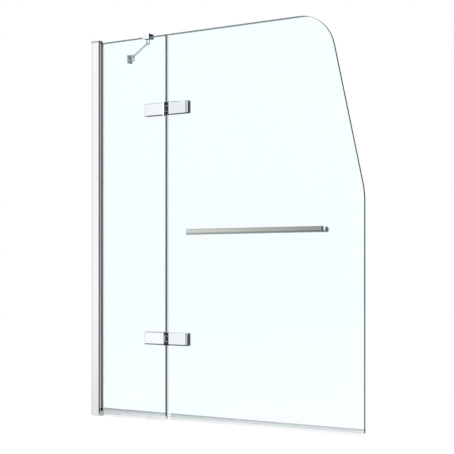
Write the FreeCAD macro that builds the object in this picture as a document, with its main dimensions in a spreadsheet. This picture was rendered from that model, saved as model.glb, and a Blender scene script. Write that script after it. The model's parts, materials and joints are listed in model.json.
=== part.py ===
"""A hinged bath screen: a fixed pane in a wall channel, a swinging pane, and a support arm.

Millimetres. x runs from the wall along the glass to the free edge, y from the bathroom side to the
tub side with 0 at the middle of the glass, and z up from the tub's rim.
"""

import FreeCAD, Part
import os
import Sketcher

SIZES = {
    # The whole screen and its glass.
    "screen_width": 1219.0,
    "screen_height": 1473.0,
    "glass_thick": 8.0,
    "glass_below_top": 11.0,
    "glass_bottom": 18.0,
    "glass_arris": 1.2,
    "pivot_x": 371.0,
    "fixed_setback": 5.3,
    "door_setback": 0.8,
    # The swinging pane's sloped corner.
    "slope_setback": 145.0,
    "slope_foot": 838.0,
    "slope_top_radius": 145.0,
    "slope_foot_radius": 250.0,
    # The wall channel, the channel inside it that holds the glass, and their end pieces.
    "channel_depth": 39.0,
    "channel_width": 22.0,
    "channel_wall": 1.9,
    "slide_gap": 0.2,
    "inner_wall": 1.5,
    "inner_start": 10.0,
    "inner_end": 47.0,
    "inner_floor": 24.0,
    "inner_above_glass": 1.5,
    "inner_nose": 3.5,
    "inner_nose_flare": 1.5,
    "cap_plate": 2.0,
    "cap_overhang": 0.4,
    "plug_depth": 10.0,
    "plug_play": 0.2,
    "wall_hole_radius": 2.5,
    "wall_hole_inset": 96.0,
    # The rubber round the fixed pane's edge.
    "gasket_floor": 1.0,
    "gasket_reach": 5.5,
    "gasket_lip": 1.5,
    "gasket_tip": 1.0,
    "gasket_back_reach": 0.5,
    # The screws that lock the two channels, and their caps.
    "lock_screw_x": 17.0,
    "lock_screw_inset": 250.0,
    "lock_screw_radius": 1.9,
    "lock_screw_length": 7.5,
    "lock_head_radius": 3.8,
    "lock_head_height": 2.4,
    "lock_hole_play": 0.1,
    "lock_cap_radius": 6.0,
    "lock_cap_wall": 1.0,
    "lock_cap_height": 4.0,
    # The clear seals on the lower edges and in the seam.
    "seal_wall": 1.2,
    "seal_grip": 13.5,
    "seal_web": 1.5,
    "seal_end_gap": 0.5,
    "sweep_clearance": 6.0,
    "drip_reach": 5.5,
    "drip_drop": 6.5,
    "fin_tip": 0.8,
    "block_length": 30.0,
    "block_side_gap": 0.3,
    "seam_seal_wall": 1.0,
    "seam_seal_grip": 12.0,
    "seam_seal_clearance": 0.5,
    "seam_tongue_root": 2.6,
    "seam_tongue_tip": 1.4,
    "seam_bottom": 8.0,
    # The glass-to-glass hinges.
    "upper_hinge_drop": 281.0,
    "lower_hinge_rise": 294.0,
    "leaf_start": 11.5,
    "leaf_length": 92.0,
    "leaf_height": 48.0,
    "plate_thick": 5.5,
    "plate_corner": 4.0,
    "plate_bevel": 2.4,
    "pad_thick": 1.0,
    "boss_length": 47.5,
    "boss_height": 35.0,
    "boss_corner": 9.0,
    "boss_gap": 0.2,
    "cutout_play": 1.5,
    "mouth_play": 1.0,
    "barrel_radius": 9.5,
    "neck_thick": 4.5,
    "fixed_knuckle": 13.0,
    "knuckle_washer": 0.8,
    "knuckle_play": 0.1,
    "pin_radius": 4.0,
    "pin_flat": 0.6,
    "pin_flat_height": 16.0,
    "pin_chamfer": 0.6,
    "pin_hold_play": 0.02,
    "pin_run_play": 0.05,
    "set_screw_radius": 2.0,
    "set_screw_inset": 0.6,
    "leaf_screw_inset": 25.0,
    "leaf_screw_spread": 20.0,
    "leaf_screw_radius": 2.45,
    "leaf_screw_play": 0.25,
    "leaf_screw_bite": 3.5,
    "tapped_play": 0.05,
    "leaf_head_radius": 4.7,
    "leaf_head_depth": 2.4,
    "leaf_head_inset": 0.2,
    "spring_bore": 3.6,
    "plunger_play": 0.1,
    "plunger_length": 9.0,
    "spring_length": 10.0,
    "spring_wire": 0.9,
    "spring_turns": 3.0,
    "preload_length": 6.0,
    # The towel bar, its posts and what holds them to the glass.
    "bar_length": 581.0,
    "bar_start": 497.0,
    "bar_level": 712.0,
    "bar_height": 22.0,
    "bar_depth": 14.0,
    "bar_corner": 1.8,
    "bar_wall": 2.0,
    "bar_back": 38.0,
    "bar_cap": 2.0,
    "post_neck_radius": 7.0,
    "post_foot": 19.0,
    "post_inset": 3.0,
    "post_foot_thick": 15.0,
    "post_chamfer": 1.0,
    "washer_thick": 1.0,
    "washer_radius": 9.0,
    "bolt_radius": 3.0,
    "bolt_play": 0.2,
    "bolt_bite": 25.0,
    "bolt_head_radius": 9.5,
    "bolt_head_height": 5.5,
    "glass_hole_radius": 6.0,
    "bush_play": 0.2,
    # The clamp on the fixed pane's upper edge.
    "clamp_centre": 273.0,
    "clamp_length": 27.0,
    "clamp_front": 6.0,
    "clamp_back": 19.0,
    "clamp_rise": 12.4,
    "clamp_drop": 8.5,
    "liner_thick": 1.0,
    "clamp_chamfer": 1.2,
    "clamp_screw_spread": 16.0,
    "clamp_screw_radius": 2.5,
    "clamp_screw_length": 12.0,
    "clamp_screw_level": 5.0,
    # The support arm and its foot on the wall.
    "arm_below_glass": 20.0,
    "arm_radius": 4.5,
    "eye_radius": 7.5,
    "eye_thick": 8.0,
    "eye_play": 0.15,
    "neck_length": 9.5,
    "neck_width": 8.0,
    "hub_radius": 6.0,
    "hub_drop": 14.0,
    "arm_pin_radius": 3.0,
    "arm_pin_play": 0.05,
    "arm_pin_head": 5.5,
    "arm_pin_head_thick": 3.0,
    "clamp_boss_radius": 6.5,
    "clamp_pin_bite": 8.5,
    "clamp_pin_play": 1.0,
    "clamp_axis_side": 6.5,
    "clamp_axis_back": 8.0,
    "foot_offset": 222.5,
    "foot_pin_reach": 20.0,
    "foot_drop": 9.0,
    "foot_width": 30.5,
    "foot_height": 34.0,
    "foot_plate": 4.0,
    "foot_corner": 3.0,
    "ear_thick": 3.0,
    "ear_radius": 7.0,
    "foot_hole_radius": 2.0,
    "foot_hole_spread": 22.0,
    "foot_hole_sink": 1.5,
}

doc = FreeCAD.newDocument("BathScreen")
sheet = doc.addObject("Spreadsheet::Sheet", "Sizes")
for row, (alias, value) in enumerate(SIZES.items(), start=1):
    sheet.set(f"A{row}", alias)
    sheet.set(f"B{row}", str(value))
    sheet.setAlias(f"B{row}", alias)
doc.recompute()


class Dim:
    """A length that carries its number and the sheet expression that gives it."""

    def __init__(self, number, text):
        self.number = float(number)
        self.text = text

    def __add__(self, other):
        other = as_dim(other)
        return Dim(self.number + other.number, f"({self.text} + {other.text})")

    def __sub__(self, other):
        other = as_dim(other)
        return Dim(self.number - other.number, f"({self.text} - {other.text})")

    def __mul__(self, other):
        other = as_dim(other)
        return Dim(self.number * other.number, f"({self.text} * {other.text})")

    def __truediv__(self, other):
        other = as_dim(other)
        return Dim(self.number / other.number, f"({self.text} / {other.text})")

    def __rsub__(self, other):
        return as_dim(other) - self

    def __neg__(self):
        return Dim(-self.number, f"(0 - {self.text})")

    __radd__ = __add__
    __rmul__ = __mul__


def as_dim(value):
    """A size stays a size, and a plain number becomes one."""
    return value if isinstance(value, Dim) else Dim(value, f"({float(value)})")


def span(run, rise):
    """The length of a line with this run and rise."""
    number = (run.number**2 + rise.number**2) ** 0.5
    return Dim(number, f"sqrt({run.text} * {run.text} + {rise.text} * {rise.text})")


class Sizes:
    """The sheet's values by name."""

    def __getattr__(self, alias):
        return Dim(SIZES[alias], f"Sizes.{alias}")


s = Sizes()
parts = []


# Building blocks


def bind(item, prop, dim):
    """Tie a property to the sheet."""
    item.setExpression(prop, as_dim(dim).text)


def keep(item, label):
    """Name a finished sub-part and put it on the list."""
    item.Label = label
    parts.append(item)
    return item


def new_sketch(body, plane, level):
    """A sketch on one of the body's origin planes, moved to a level along that plane's axis."""
    sketch = body.newObject("Sketcher::SketchObject", "Sketch")
    support = next(item for item in body.Origin.OriginFeatures if item.Role == f"{plane}_Plane")
    sketch.AttachmentSupport = [(support, "")]
    sketch.MapMode = "FlatFace"
    facing = -1 if plane == "XZ" else 1
    bind(sketch, "AttachmentOffset.Base.z", as_dim(level) * facing)
    return sketch


def locate(sketch, geometry, point, u, v):
    """Fix a point of the sketch at two sizes from its origin."""
    for kind, dim in (("DistanceX", as_dim(u)), ("DistanceY", as_dim(v))):
        index = sketch.addConstraint(Sketcher.Constraint(kind, geometry, point, dim.number))
        sketch.setExpression(f"Constraints[{index}]", dim.text)


def add_loop(sketch, corners):
    """A closed outline of straight lines through the given corners."""
    places = [FreeCAD.Vector(as_dim(u).number, as_dim(v).number, 0) for u, v in corners]
    count = len(places)
    first = sketch.GeometryCount
    for i in range(count):
        sketch.addGeometry(Part.LineSegment(places[i], places[(i + 1) % count]), False)
    for i, (u, v) in enumerate(corners):
        following = first + (i + 1) % count
        sketch.addConstraint(Sketcher.Constraint("Coincident", first + i, 2, following, 1))
        locate(sketch, first + i, 1, u, v)


def add_circle(sketch, u, v, radius):
    """A circle with its centre at two sizes from the sketch's origin."""
    centre = FreeCAD.Vector(as_dim(u).number, as_dim(v).number, 0)
    radius = as_dim(radius)
    circle = Part.Circle(centre, FreeCAD.Vector(0, 0, 1), radius.number)
    geometry = sketch.addGeometry(circle, False)
    locate(sketch, geometry, 3, u, v)
    index = sketch.addConstraint(Sketcher.Constraint("Radius", geometry, radius.number))
    sketch.setExpression(f"Constraints[{index}]", radius.text)


def new_body(name):
    return doc.addObject("PartDesign::Body", name)


def pad(body, plane, low, high, loops=(), circles=()):
    """Push an outline from one level to another along the plane's axis."""
    backwards = plane == "XZ"
    sketch = new_sketch(body, plane, high if backwards else low)
    for corners in loops:
        add_loop(sketch, corners)
    for u, v, radius in circles:
        add_circle(sketch, u, v, radius)
    feature = body.newObject("PartDesign::Pad", "Pad")
    feature.Profile = sketch
    bind(feature, "Length", as_dim(high) - low)
    return feature


def pocket(body, plane, low, high, loops=(), circles=()):
    """Cut an outline from one level to another along the plane's axis, and check that it cuts."""
    doc.recompute()
    before = body.Shape.Volume
    backwards = plane == "XZ"
    sketch = new_sketch(body, plane, low if backwards else high)
    for corners in loops:
        add_loop(sketch, corners)
    for u, v, radius in circles:
        add_circle(sketch, u, v, radius)
    feature = body.newObject("PartDesign::Pocket", "Pocket")
    feature.Profile = sketch
    bind(feature, "Length", as_dim(high) - low)
    doc.recompute()
    if not body.Shape.Volume < before:
        raise RuntimeError(f"a pocket in {body.Name} cuts nothing")
    return feature


def edge_names(shape, wanted):
    """The names of the edges that a test picks."""
    return [f"Edge{i}" for i, edge in enumerate(shape.Edges, start=1) if wanted(edge)]


def along(edge, axis):
    """Whether an edge is straight and runs along this axis."""
    box = edge.BoundBox
    sizes = {"x": box.XLength, "y": box.YLength, "z": box.ZLength}
    length = sizes.pop(axis)
    return length > 1e-6 and max(sizes.values()) < 1e-6


def near(value, *dims):
    """Whether a number is one of these sizes."""
    return any(abs(value - as_dim(dim).number) < 1e-4 for dim in dims)


def round_edges(body, radius, wanted):
    """Round the edges of a body that a test picks."""
    doc.recompute()
    base = body.Tip
    feature = body.newObject("PartDesign::Fillet", "Fillet")
    feature.Base = (base, edge_names(base.Shape, wanted))
    bind(feature, "Radius", radius)
    return feature


def bevel_edges(body, width, wanted):
    """Bevel the edges of a body that a test picks."""
    doc.recompute()
    base = body.Tip
    feature = body.newObject("PartDesign::Chamfer", "Chamfer")
    feature.Base = (base, edge_names(base.Shape, wanted))
    bind(feature, "Size", width)
    return feature


TURNS = {
    "+x": FreeCAD.Rotation(FreeCAD.Vector(0, 1, 0), 90),
    "+y": FreeCAD.Rotation(FreeCAD.Vector(1, 0, 0), -90),
    "+z": FreeCAD.Rotation(),
    "-z": FreeCAD.Rotation(FreeCAD.Vector(1, 0, 0), 180),
}


def place(item, x, y, z, facing="+z"):
    """Put a piece at a point, with its own z axis along the facing direction."""
    item.Placement = FreeCAD.Placement(FreeCAD.Vector(), TURNS[facing])
    for axis, dim in (("x", x), ("y", y), ("z", z)):
        bind(item, f"Placement.Base.{axis}", dim)


def turned(name, profile, x, y, z, facing="+z"):
    """A turned piece: the profile's corners are (radius, height) about the piece's own axis."""
    body = new_body(name)
    sketch = new_sketch(body, "XZ", 0)
    add_loop(sketch, profile)
    feature = body.newObject("PartDesign::Revolution", "Revolution")
    feature.Profile = sketch
    feature.ReferenceAxis = (sketch, ["V_Axis"])
    feature.Angle = 360
    place(body, x, y, z, facing)
    return body


def group(label, pieces):
    """Separate solids of one kind that share a node."""
    compound = doc.addObject("Part::Compound", label)
    compound.Links = pieces
    return keep(compound, label)


def block(name, x, y, z):
    """A plain block between pairs of sizes."""
    item = doc.addObject("Part::Box", name)
    for axis, prop, (low, high) in (("x", "Length", x), ("y", "Width", y), ("z", "Height", z)):
        bind(item, prop, as_dim(high) - low)
        bind(item, f"Placement.Base.{axis}", low)
    return item


def rod(name, radius, length, x, y, z, facing="+z"):
    """A cylinder that starts at a point and runs along the facing direction."""
    item = doc.addObject("Part::Cylinder", name)
    bind(item, "Radius", radius)
    bind(item, "Height", length)
    place(item, x, y, z, facing)
    return item


def fuse(name, pieces):
    item = doc.addObject("Part::MultiFuse", name)
    item.Shapes = pieces
    item.Refine = True
    return item


def cut(name, base, tools):
    """Cut the tools out of the base, and check that each one cuts."""
    doc.recompute()
    for tool in tools:
        if not base.Shape.common(tool.Shape).Volume > 0:
            raise RuntimeError(f"{tool.Name} cuts nothing out of {base.Name}")
    item = doc.addObject("Part::Cut", name)
    item.Base = base
    item.Tool = tools[0] if len(tools) == 1 else fuse(f"{name}_tools", tools)
    item.Refine = True
    return item


# Places that several pieces share


def spread(inset, count):
    """Evenly spaced levels up the screen, with the first and last this far from its ends."""
    step = (s.screen_height - inset * 2) / (count - 1)
    return [inset + step * i for i in range(count)]


half_glass = s.glass_thick / 2
glass_top = s.screen_height - s.glass_below_top
fixed_edge = s.pivot_x - s.fixed_setback
door_edge = s.pivot_x + s.door_setback
upper_hinge = glass_top - s.upper_hinge_drop
lower_hinge = s.glass_bottom + s.lower_hinge_rise
hinges = {"upper": upper_hinge, "lower": lower_hinge}

half_channel = s.channel_width / 2
channel_bottom = s.cap_plate
channel_top = s.screen_height - s.cap_plate
outer_face = half_channel - s.channel_wall
inner_face = outer_face - s.slide_gap
pocket_face = inner_face - s.inner_wall
inner_top = glass_top + s.inner_above_glass
wall_holes = spread(s.wall_hole_inset, 4)
lock_screws = spread(s.lock_screw_inset, 3)

plate_face = half_glass + s.pad_thick
leaf_face = plate_face + s.plate_thick
mouth_depth = s.leaf_start - s.mouth_play / 2
cutout_end = s.leaf_start + s.boss_length + s.cutout_play
half_cutout = s.boss_height / 2 + s.cutout_play
half_mouth = s.leaf_height / 2 + s.mouth_play
moving_knuckle = (
    s.leaf_height / 2 - s.fixed_knuckle - s.knuckle_washer - s.knuckle_play * 2
)

post_places = [
    s.bar_start + s.post_inset + s.post_foot / 2,
    s.bar_start + s.bar_length - s.post_inset - s.post_foot / 2,
]

clamp_bottom = glass_top - s.clamp_drop
clamp_top = glass_top + s.clamp_rise
clamp_inner = half_glass + s.liner_thick
clamp_back_face = clamp_inner + s.clamp_back
arm_axis_x = s.clamp_centre - s.clamp_axis_side
arm_axis_y = clamp_inner + s.clamp_axis_back
arm_level = glass_top - s.arm_below_glass
arm_length = span(arm_axis_x - s.foot_pin_reach, s.foot_offset - arm_axis_y)
half_eye = s.eye_thick / 2
fork_top = arm_level + half_eye + s.eye_play
fork_bottom = arm_level - s.hub_drop - s.eye_play


def rectangle(low_u, high_u, low_v, high_v):
    """The four corners of a rectangle."""
    return [(low_u, low_v), (high_u, low_v), (high_u, high_v), (low_u, high_v)]


# The wall side: two nested channels, gasket, end pieces and locking screws


def wall_channel():
    """The extruded channel on the wall, with screw holes in its back and in its tub side."""
    body = new_body("wall_channel")
    section = [
        (0, -half_channel),
        (s.channel_depth, -half_channel),
        (s.channel_depth, -outer_face),
        (s.channel_wall, -outer_face),
        (s.channel_wall, outer_face),
        (s.channel_depth, outer_face),
        (s.channel_depth, half_channel),
        (0, half_channel),
    ]
    pad(body, "XY", channel_bottom, channel_top, [section])
    holes = [(0, z, s.wall_hole_radius) for z in wall_holes]
    pocket(body, "YZ", 0, s.channel_wall, circles=holes)
    radius = s.lock_screw_radius + s.lock_hole_play
    holes = [(s.lock_screw_x, z, radius) for z in lock_screws]
    pocket(body, "XZ", outer_face, half_channel, circles=holes)
    keep(body, "wall_channel")


def glass_channel():
    """The channel that slides in the wall channel: a hollow box, a slot for the glass and a nose."""
    body = new_body("glass_channel")
    nose_start = s.inner_end - s.inner_nose
    nose_face = inner_face + s.inner_nose_flare
    section = [
        (s.inner_start, -inner_face),
        (nose_start, -inner_face),
        (nose_start, -nose_face),
        (s.inner_end, -nose_face),
        (s.inner_end, -pocket_face),
        (s.inner_floor, -pocket_face),
        (s.inner_floor, pocket_face),
        (s.inner_end, pocket_face),
        (s.inner_end, nose_face),
        (nose_start, nose_face),
        (nose_start, inner_face),
        (s.inner_start, inner_face),
    ]
    hollow = rectangle(
        s.inner_start + s.inner_wall, s.inner_floor - s.inner_wall, -pocket_face, pocket_face
    )
    pad(body, "XY", channel_bottom, inner_top, [section, hollow])
    radius = s.lock_screw_radius + s.tapped_play
    holes = [(s.lock_screw_x, z, radius) for z in lock_screws]
    pocket(body, "XZ", pocket_face, inner_face, circles=holes)
    keep(body, "glass_channel")


def glazing_gasket():
    """The dark rubber that wraps the fixed pane's edge, with a front lip over the channel's mouth."""
    body = new_body("glazing_gasket")
    tip = s.inner_end + s.gasket_reach
    lip = s.inner_end + s.gasket_lip
    back_lip = s.inner_end + s.gasket_back_reach
    glass_edge = s.inner_floor + s.gasket_floor
    section = [
        (s.inner_floor, -pocket_face),
        (s.inner_end, -pocket_face),
        (s.inner_end, -inner_face),
        (lip, -inner_face),
        (tip, -half_glass - s.gasket_tip),
        (tip, -half_glass),
        (glass_edge, -half_glass),
        (glass_edge, half_glass),
        (back_lip, half_glass),
        (back_lip, inner_face),
        (s.inner_end, inner_face),
        (s.inner_end, pocket_face),
        (s.inner_floor, pocket_face),
    ]
    pad(body, "XY", channel_bottom, inner_top, [section])
    keep(body, "glazing_gasket")


def channel_end(label, plate, plug, far_end):
    """An end piece of the wall channel: a plate, and a plug behind the inner channel."""
    body = new_body(label)
    side = half_channel + s.cap_overhang
    pad(body, "XY", *plate, [rectangle(0, far_end, -side, side)])
    plug_side = outer_face - s.plug_play
    plug_outline = rectangle(
        s.channel_wall + s.plug_play, s.inner_start - s.plug_play, -plug_side, plug_side
    )
    pad(body, "XY", *plug, [plug_outline])
    keep(body, label)


def lock_screws_and_caps():
    """Pan-head screws through both channels from the tub side, each under a snap-on cap."""
    head = s.lock_head_height
    screw = [
        (0, -s.lock_screw_length),
        (s.lock_screw_radius, -s.lock_screw_length),
        (s.lock_screw_radius, 0),
        (s.lock_head_radius, 0),
        (s.lock_head_radius, head * 0.6),
        (s.lock_head_radius * 0.7, head),
        (0, head),
    ]
    bore = s.lock_cap_radius - s.lock_cap_wall
    roof = s.lock_cap_height - s.lock_cap_wall
    cap = [
        (0, roof),
        (bore, roof),
        (bore, 0),
        (s.lock_cap_radius, 0),
        (s.lock_cap_radius, roof),
        (bore, s.lock_cap_height),
        (0, s.lock_cap_height),
    ]
    for label, profile in (("channel_lock_screws", screw), ("lock_screw_caps", cap)):
        pieces = [
            turned(f"{label}_{i}", profile, s.lock_screw_x, half_channel, z, "+y")
            for i, z in enumerate(lock_screws)
        ]
        group(label, pieces)


# The panes


def hinge_cutout(edge_side, level):
    """The stepped notch for a hinge: a wide shallow mouth for the barrel, then a slot for the boss."""

    def x(distance):
        return s.pivot_x + as_dim(distance) * edge_side

    return [
        (x(0), level - half_mouth),
        (x(mouth_depth), level - half_mouth),
        (x(mouth_depth), level - half_cutout),
        (x(cutout_end), level - half_cutout),
        (x(cutout_end), level + half_cutout),
        (x(mouth_depth), level + half_cutout),
        (x(mouth_depth), level + half_mouth),
        (x(0), level + half_mouth),
    ]


def cut_hinge_notches(body, edge_side):
    """Cut the hinge notches in a pane's edge and round their inner corners."""
    notches = [hinge_cutout(edge_side, level) for level in hinges.values()]
    for notch in notches:
        pocket(body, "XZ", -half_glass, half_glass, [notch])
    inner_end = s.pivot_x + cutout_end * edge_side
    round_edges(
        body,
        s.boss_corner + s.cutout_play,
        lambda edge: along(edge, "y") and near(edge.BoundBox.XMin, inner_end),
    )


def arris(body):
    """Bevel every edge that lies on either face of a pane."""

    def on_a_face(edge):
        box = edge.BoundBox
        return box.YLength < 1e-6 and near(box.YMin, half_glass, -half_glass)

    bevel_edges(body, s.glass_arris, on_a_face)


def fixed_glass_panel():
    body = new_body("fixed_glass_panel")
    start = s.inner_floor + s.gasket_floor
    outline = rectangle(start, fixed_edge, s.glass_bottom, glass_top)
    pad(body, "XZ", -half_glass, half_glass, [outline])
    cut_hinge_notches(body, -1)
    arris(body)
    keep(body, "fixed_glass_panel")


def door_glass_panel():
    """The swinging pane, whose free upper corner slopes off between two arcs."""
    body = new_body("door_glass_panel")
    slope_top = s.screen_width - s.slope_setback
    outline = [
        (door_edge, s.glass_bottom),
        (s.screen_width, s.glass_bottom),
        (s.screen_width, s.slope_foot),
        (slope_top, glass_top),
        (door_edge, glass_top),
    ]
    pad(body, "XZ", -half_glass, half_glass, [outline])
    round_edges(
        body,
        s.slope_top_radius,
        lambda edge: along(edge, "y")
        and near(edge.BoundBox.XMin, slope_top)
        and near(edge.BoundBox.ZMin, glass_top),
    )
    round_edges(
        body,
        s.slope_foot_radius,
        lambda edge: along(edge, "y") and near(edge.BoundBox.ZMin, s.slope_foot),
    )
    cut_hinge_notches(body, 1)
    holes = [(x, s.bar_level, s.glass_hole_radius) for x in post_places]
    pocket(body, "XZ", -half_glass, half_glass, circles=holes)
    arris(body)
    keep(body, "door_glass_panel")


# The seals


def seal_legs():
    """The part of a lower seal's section that grips the glass, from the front leg to the back leg."""
    outer = half_glass + s.seal_wall
    top = s.glass_bottom + s.seal_grip
    return [
        (-outer, top),
        (-half_glass, top),
        (-half_glass, s.glass_bottom),
        (half_glass, s.glass_bottom),
        (half_glass, top),
        (outer, top),
    ]


def fixed_panel_bottom_seal():
    """The seal under the fixed pane, which stands on the rim on two straight feet."""
    body = new_body("fixed_panel_bottom_seal")
    outer = half_glass + s.seal_wall
    inner = outer - s.seal_web
    web = s.glass_bottom - s.seal_web
    feet = [(outer, 0), (inner, 0), (inner, web), (-inner, web), (-inner, 0), (-outer, 0)]
    start = s.inner_end + s.gasket_reach + s.seal_end_gap
    pad(body, "YZ", start, fixed_edge - s.seal_end_gap, [seal_legs() + feet])
    keep(body, "fixed_panel_bottom_seal")


def setting_blocks():
    """The two blocks in the fixed pane's seal that carry its weight on the rim."""
    side = half_glass + s.seal_wall - s.seal_web - s.block_side_gap
    web = s.glass_bottom - s.seal_web
    width = fixed_edge - s.inner_end
    pieces = []
    for i, share in enumerate((0.25, 0.75)):
        middle = s.inner_end + width * share
        low = middle - s.block_length / 2
        high = middle + s.block_length / 2
        pieces.append(block(f"setting_block_{i}", (low, high), (-side, side), (0, web)))
    group("setting_blocks", pieces)


def door_bottom_sweep():
    """The seal under the swinging pane: two thin fins and a drip lip on the tub side."""
    body = new_body("door_bottom_sweep")
    outer = half_glass + s.seal_wall
    inner = outer - s.seal_web
    web = s.glass_bottom - s.seal_web
    tip = s.sweep_clearance
    below = [
        (outer, web + s.fin_tip),
        (outer + s.drip_reach, web - s.drip_drop + s.fin_tip),
        (outer + s.drip_reach - s.fin_tip, web - s.drip_drop),
        (outer - s.fin_tip / 2, web - s.fin_tip / 2),
        (outer - s.fin_tip / 2, tip),
        (outer - s.fin_tip * 1.5, tip),
        (inner, web),
        (-inner, web),
        (-outer + s.fin_tip * 1.5, tip),
        (-outer + s.fin_tip / 2, tip),
        (-outer, web),
    ]
    start = door_edge + s.seam_seal_grip + s.seal_end_gap
    pad(body, "YZ", start, s.screen_width, [seal_legs() + below])
    keep(body, "door_bottom_sweep")


def seam_seal(label, low, high):
    """A clear strip on the swinging pane's hinge edge, with a tongue towards the fixed pane."""
    body = new_body(label)
    outer = half_glass + s.seam_seal_wall
    web = door_edge - s.seam_seal_wall
    leg = door_edge + s.seam_seal_grip
    tongue = fixed_edge + s.seam_seal_clearance
    section = [
        (tongue, -s.seam_tongue_tip),
        (web, -s.seam_tongue_root),
        (web, -outer),
        (leg, -outer),
        (leg, -half_glass),
        (door_edge, -half_glass),
        (door_edge, half_glass),
        (leg, half_glass),
        (leg, outer),
        (web, outer),
        (web, s.seam_tongue_root),
        (tongue, s.seam_tongue_tip),
    ]
    pad(body, "XY", low, high, [section])
    keep(body, label)


# The hinges


def from_pivot(side, near_end, far_end):
    """A pair of x places at two distances from the pivot, on the fixed (-1) or moving (1) side."""
    near_end, far_end = as_dim(near_end), as_dim(far_end)
    if side > 0:
        return s.pivot_x + near_end, s.pivot_x + far_end
    return s.pivot_x - far_end, s.pivot_x - near_end


def leaf_screw_places(side, level):
    """The two screws of a leaf, one above the other, as (x, z)."""
    x = s.pivot_x + (s.leaf_start + s.leaf_screw_inset) * side
    half_spread = s.leaf_screw_spread / 2
    return [(x, level - half_spread), (x, level + half_spread)]


def rounded_plate(name, side, level, low, high):
    """A leaf's plate: square at the barrel, with rounded corners at its far end."""
    body = new_body(name)
    ends = from_pivot(side, s.leaf_start, s.leaf_start + s.leaf_length)
    half_height = s.leaf_height / 2
    outline = rectangle(*ends, level - half_height, level + half_height)
    pad(body, "XZ", low, high, [outline])
    far_x = s.pivot_x + (s.leaf_start + s.leaf_length) * side
    round_edges(
        body,
        s.plate_corner,
        lambda edge: along(edge, "y") and near(edge.BoundBox.XMin, far_x),
    )
    return body


def bevel_face(body, level):
    """Bevel the outline of a plate's outer face."""

    def on_the_face(edge):
        return edge.BoundBox.YLength < 1e-6 and near(edge.BoundBox.YMin, level)

    bevel_edges(body, s.plate_bevel, on_the_face)


def hinge_leaf(name, side, level):
    """A leaf's main casting: back plate, boss through the glass, and its knuckles round the pin."""
    tag = f"{name}_{'moving' if side > 0 else 'fixed'}"
    plate = rounded_plate(f"{tag}_back", side, level, plate_face, leaf_face)
    bevel_face(plate, leaf_face)
    half_boss = s.boss_height / 2
    boss = new_body(f"{tag}_boss")
    ends = from_pivot(side, s.leaf_start, s.leaf_start + s.boss_length)
    outline = rectangle(*ends, level - half_boss, level + half_boss)
    pad(boss, "XZ", -plate_face + s.boss_gap, plate_face, [outline])
    far_x = s.pivot_x + (s.leaf_start + s.boss_length) * side
    round_edges(
        boss,
        s.boss_corner,
        lambda edge: along(edge, "y") and near(edge.BoundBox.XMin, far_x),
    )
    pieces = [plate, boss]
    half_leaf = s.leaf_height / 2
    if side > 0:
        knuckles = [(level - moving_knuckle, level + moving_knuckle)]
        neck_back = -plate_face + s.boss_gap
        bore = s.pin_radius + s.pin_run_play
    else:
        knuckles = [
            (level - half_leaf, level - half_leaf + s.fixed_knuckle),
            (level + half_leaf - s.fixed_knuckle, level + half_leaf),
        ]
        neck_back = s.barrel_radius - s.neck_thick
        bore = s.pin_radius + s.pin_hold_play
    holes = []
    for i, (low, high) in enumerate(knuckles):
        barrel = rod(f"{tag}_barrel_{i}", s.barrel_radius, high - low, s.pivot_x, 0, low)
        neck_x = from_pivot(side, 0, s.leaf_start + s.plate_bevel * 2)
        neck = block(f"{tag}_neck_{i}", neck_x, (neck_back, s.barrel_radius), (low, high))
        pieces += [barrel, neck]
        holes.append(rod(f"{tag}_bore_{i}", bore, high - low, s.pivot_x, 0, low))
        if side < 0:
            middle = (low + high) / 2
            depth = s.barrel_radius
            radius = s.set_screw_radius + s.tapped_play
            holes.append(rod(f"{tag}_set_{i}", radius, depth, s.pivot_x, 0, middle, "+y"))
    for i, (x, z) in enumerate(leaf_screw_places(side, level)):
        radius = s.leaf_screw_radius + s.leaf_screw_play
        length = leaf_face + plate_face
        holes.append(rod(f"{tag}_screw_{i}", radius, length, x, -plate_face, z, "+y"))
        sink = doc.addObject("Part::Cone", f"{tag}_sink_{i}")
        bind(sink, "Radius1", radius)
        bind(sink, "Radius2", s.leaf_head_radius + s.leaf_screw_play)
        bind(sink, "Height", s.leaf_head_depth + s.leaf_head_inset)
        place(sink, x, leaf_face - s.leaf_head_depth - s.leaf_head_inset, z, "+y")
        holes.append(sink)
    if side > 0:
        length = s.leaf_start + s.boss_length
        holes.append(rod(f"{tag}_spring_bore", s.spring_bore, length, s.pivot_x, 0, level, "+x"))
    leaf = cut(tag, fuse(f"{tag}_solid", pieces), holes)
    keep(leaf, f"{name}_hinge_{'moving' if side > 0 else 'fixed'}_leaf")


def hinge_cover(name, side, level):
    """The plate on the bathroom side, bevelled all round its face, with blind tapped holes."""
    label = f"{name}_hinge_{'moving' if side > 0 else 'fixed'}_cover"
    body = rounded_plate(label, side, level, -leaf_face, -plate_face)
    radius = s.leaf_screw_radius + s.tapped_play
    holes = [(x, z, radius) for x, z in leaf_screw_places(side, level)]
    pocket(body, "XZ", -plate_face - s.leaf_screw_bite, -plate_face, circles=holes)
    bevel_face(body, -leaf_face)
    keep(body, label)


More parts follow.
